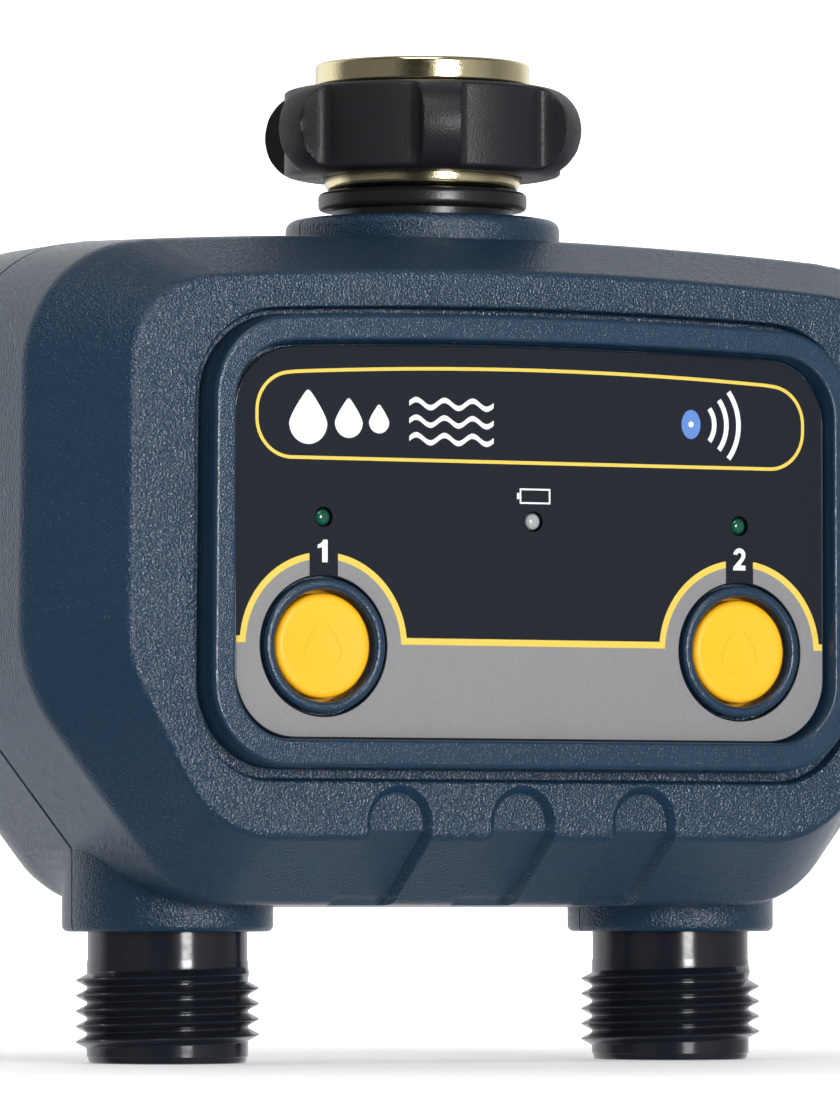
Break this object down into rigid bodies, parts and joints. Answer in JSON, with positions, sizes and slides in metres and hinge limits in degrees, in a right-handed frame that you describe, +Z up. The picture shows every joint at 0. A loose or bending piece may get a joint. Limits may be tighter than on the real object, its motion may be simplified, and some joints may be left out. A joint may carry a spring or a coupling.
{
  "type": "drip irrigation timer",
  "caption": "Battery-powered hose-end water timer with a brass swivel inlet nut on top, threaded outlets below and push buttons on a recessed front panel.",
  "frame": {"origin": "bottom centre of the object's box: the plane of the outlet tips, below the inlet axis", "axes": "+X to the right seen from the front panel, +Y to the back, +Z up along the inlet and outlet axes; the front panel faces -Y"},
  "size_m": [0.1502, 0.0736, 0.1456],
  "materials": {
    "navy_shell": "matte",
    "label_print": "gloss",
    "black_outlet": "gloss",
    "black_spigot": "satin",
    "grip_rubber": "matte",
    "polished_brass": "polished",
    "button_yellow": "satin",
    "green_lens": "gloss",
    "white_lens": "gloss",
    "silicone": "matte",
    "black_rubber": "matte",
    "white_nylon": "satin",
    "steel": "satin",
    "copper_winding": "satin",
    "circuit_board": "satin",
    "black_plastic": "satin",
    "battery_sleeve": "gloss",
    "wire_insulation": "satin"
  },
  "bodies": {
    "housing": {"front_housing": "navy_shell", "rear_housing": "navy_shell", "faceplate_label": "label_print", "outlet_fitting_1": "black_outlet", "outlet_fitting_2": "black_outlet", "inlet_fitting": "black_spigot", "led_lens_1": "green_lens", "led_lens_2": "green_lens", "led_lens_battery": "white_lens", "button_boot_1": "silicone", "button_boot_2": "silicone", "filter_washer": "black_rubber", "outlet_oring_1": "black_rubber", "outlet_oring_2": "black_rubber", "diaphragm_1": "black_rubber", "diaphragm_2": "black_rubber", "housing_seal_left": "black_rubber", "housing_seal_right": "black_rubber", "housing_seal_bottom": "black_rubber", "battery_door_seal": "black_rubber", "manifold": "white_nylon", "valve_body_1": "white_nylon", "valve_body_2": "white_nylon", "valve_bonnet_1": "white_nylon", "valve_bonnet_2": "white_nylon", "solenoid_frame_1": "steel", "solenoid_frame_2": "steel", "plunger_spring_1": "steel", "plunger_spring_2": "steel", "housing_screw_1": "steel", "housing_screw_2": "steel", "housing_screw_3": "steel", "housing_screw_4": "steel", "door_hinge_pin": "steel", "battery_contact_top_1": "steel", "battery_contact_top_2": "steel", "battery_contact_neg": "steel", "battery_contact_mid": "steel", "battery_contact_pos": "steel", "wireless_module": "steel", "solenoid_coil_1": "copper_winding", "solenoid_coil_2": "copper_winding", "circuit_board": "circuit_board", "tact_switch_1": "black_plastic", "tact_switch_2": "black_plastic", "battery_tray": "black_plastic", "battery_1": "battery_sleeve", "battery_2": "battery_sleeve", "battery_3": "battery_sleeve", "battery_4": "battery_sleeve", "solenoid_lead_1": "wire_insulation", "solenoid_lead_2": "wire_insulation", "battery_lead": "wire_insulation"},
    "swivel": {"inlet_nut": "polished_brass", "inlet_grip": "grip_rubber"},
    "button_1": {"button_1": "button_yellow"},
    "button_2": {"button_2": "button_yellow"},
    "battery_door": {"battery_door": "navy_shell"},
    "plunger_1": {"solenoid_plunger_1": "steel"},
    "plunger_2": {"solenoid_plunger_2": "steel"}
  },
  "joints": [
    {"name": "inlet_swivel", "type": "hinge", "parent": "housing", "child": "swivel", "pos_m": [0, 0, 0.136], "axis": [0, 0, 1], "continuous": true},
    {"name": "button_1_press", "type": "slide", "parent": "housing", "child": "button_1", "axis": [0, 1, 0], "range_m": [0, 0.0008], "stiffness_N_per_m": 1000, "deforming": ["button_boot_1"]},
    {"name": "button_2_press", "type": "slide", "parent": "housing", "child": "button_2", "axis": [0, 1, 0], "range_m": [0, 0.0008], "stiffness_N_per_m": 1000, "deforming": ["button_boot_2"]},
    {"name": "battery_door_hinge", "type": "hinge", "parent": "housing", "child": "battery_door", "pos_m": [0, 0.035, 0.0435], "axis": [-1, 0, 0], "range_deg": [0, 90]},
    {"name": "plunger_1_lift", "type": "slide", "parent": "housing", "child": "plunger_1", "axis": [0, 1, 0], "range_m": [0, 0.0015], "stiffness_N_per_m": 250, "deforming": ["plunger_spring_1"]},
    {"name": "plunger_2_lift", "type": "slide", "parent": "housing", "child": "plunger_2", "axis": [0, 1, 0], "range_m": [0, 0.0015], "stiffness_N_per_m": 250, "deforming": ["plunger_spring_2"]}
  ]
}
